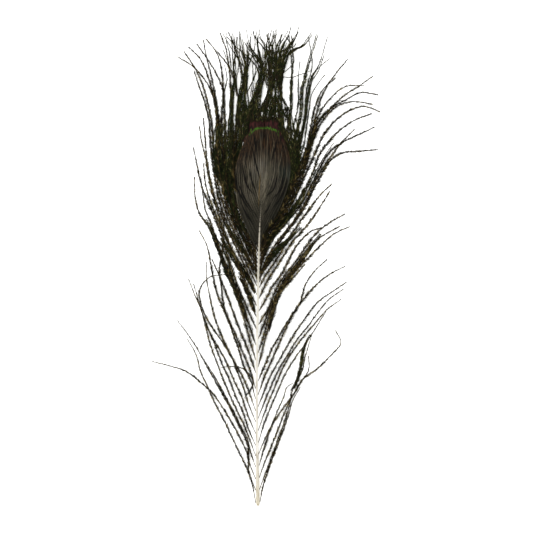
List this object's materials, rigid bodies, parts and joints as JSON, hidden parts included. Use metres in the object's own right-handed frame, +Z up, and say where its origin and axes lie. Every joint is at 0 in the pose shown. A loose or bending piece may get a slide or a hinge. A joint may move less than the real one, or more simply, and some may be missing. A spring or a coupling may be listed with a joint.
{
  "type": "peacock feather",
  "caption": "Peacock tail feather with a short pale shaft, long loose barbs along both sides and a closed oval eye ringed by a fan of free ends; lies flat.",
  "frame": {"origin": "on the table under the middle of the feather's box as seen from above", "axes": "+Y along the shaft from its cut end to the eye, +Z up out of the feather's dull reverse side, +X to the right as seen from above with the eye away from the viewer"},
  "size_m": [0.144, 0.3024, 0.0049],
  "materials": {
    "shaft_horn": "smooth satin keratin, cream, a little tan at the cut end and greyer at the eye",
    "barb_keratin": "furry strands of fine keratin barbules, brown-black with olive and bronze glints",
    "web_keratin": "soft matt web of hooked barbs, slate brown with a thin green arc and a maroon band"
  },
  "bodies": {
    "root": {"barb_left_01": "barb_keratin", "barb_left_02": "barb_keratin", "barb_left_03": "barb_keratin", "barb_left_04": "barb_keratin", "barb_left_05": "barb_keratin", "barb_left_06": "barb_keratin", "barb_left_07": "barb_keratin", "barb_left_08": "barb_keratin", "barb_left_09": "barb_keratin", "barb_left_10": "barb_keratin", "barb_left_11": "barb_keratin", "barb_left_12": "barb_keratin", "barb_left_13": "barb_keratin", "barb_left_14": "barb_keratin", "barb_left_15": "barb_keratin", "barb_left_16": "barb_keratin", "barb_left_17": "barb_keratin", "barb_left_18": "barb_keratin", "barb_left_19": "barb_keratin", "barb_left_20": "barb_keratin", "barb_left_21": "barb_keratin", "barb_left_22": "barb_keratin", "barb_left_23": "barb_keratin", "barb_left_24": "barb_keratin", "barb_left_25": "barb_keratin", "barb_left_26": "barb_keratin", "barb_left_27": "barb_keratin", "barb_left_28": "barb_keratin", "barb_right_01": "barb_keratin", "barb_right_02": "barb_keratin", "barb_right_03": "barb_keratin", "barb_right_04": "barb_keratin", "barb_right_05": "barb_keratin", "barb_right_06": "barb_keratin", "barb_right_07": "barb_keratin", "barb_right_08": "barb_keratin", "barb_right_09": "barb_keratin", "barb_right_10": "barb_keratin", "barb_right_11": "barb_keratin", "barb_right_12": "barb_keratin", "barb_right_13": "barb_keratin", "barb_right_14": "barb_keratin", "barb_right_15": "barb_keratin", "barb_right_16": "barb_keratin", "barb_right_17": "barb_keratin", "barb_right_18": "barb_keratin", "barb_right_19": "barb_keratin", "barb_right_20": "barb_keratin", "barb_right_21": "barb_keratin", "barb_right_22": "barb_keratin", "barb_right_23": "barb_keratin", "barb_right_24": "barb_keratin", "barb_right_25": "barb_keratin", "barb_right_26": "barb_keratin", "barb_right_27": "barb_keratin", "barb_right_28": "barb_keratin", "barb_right_29": "barb_keratin", "shaft": "shaft_horn", "web_left": "web_keratin", "web_right": "web_keratin"}
  },
  "joints": []
}
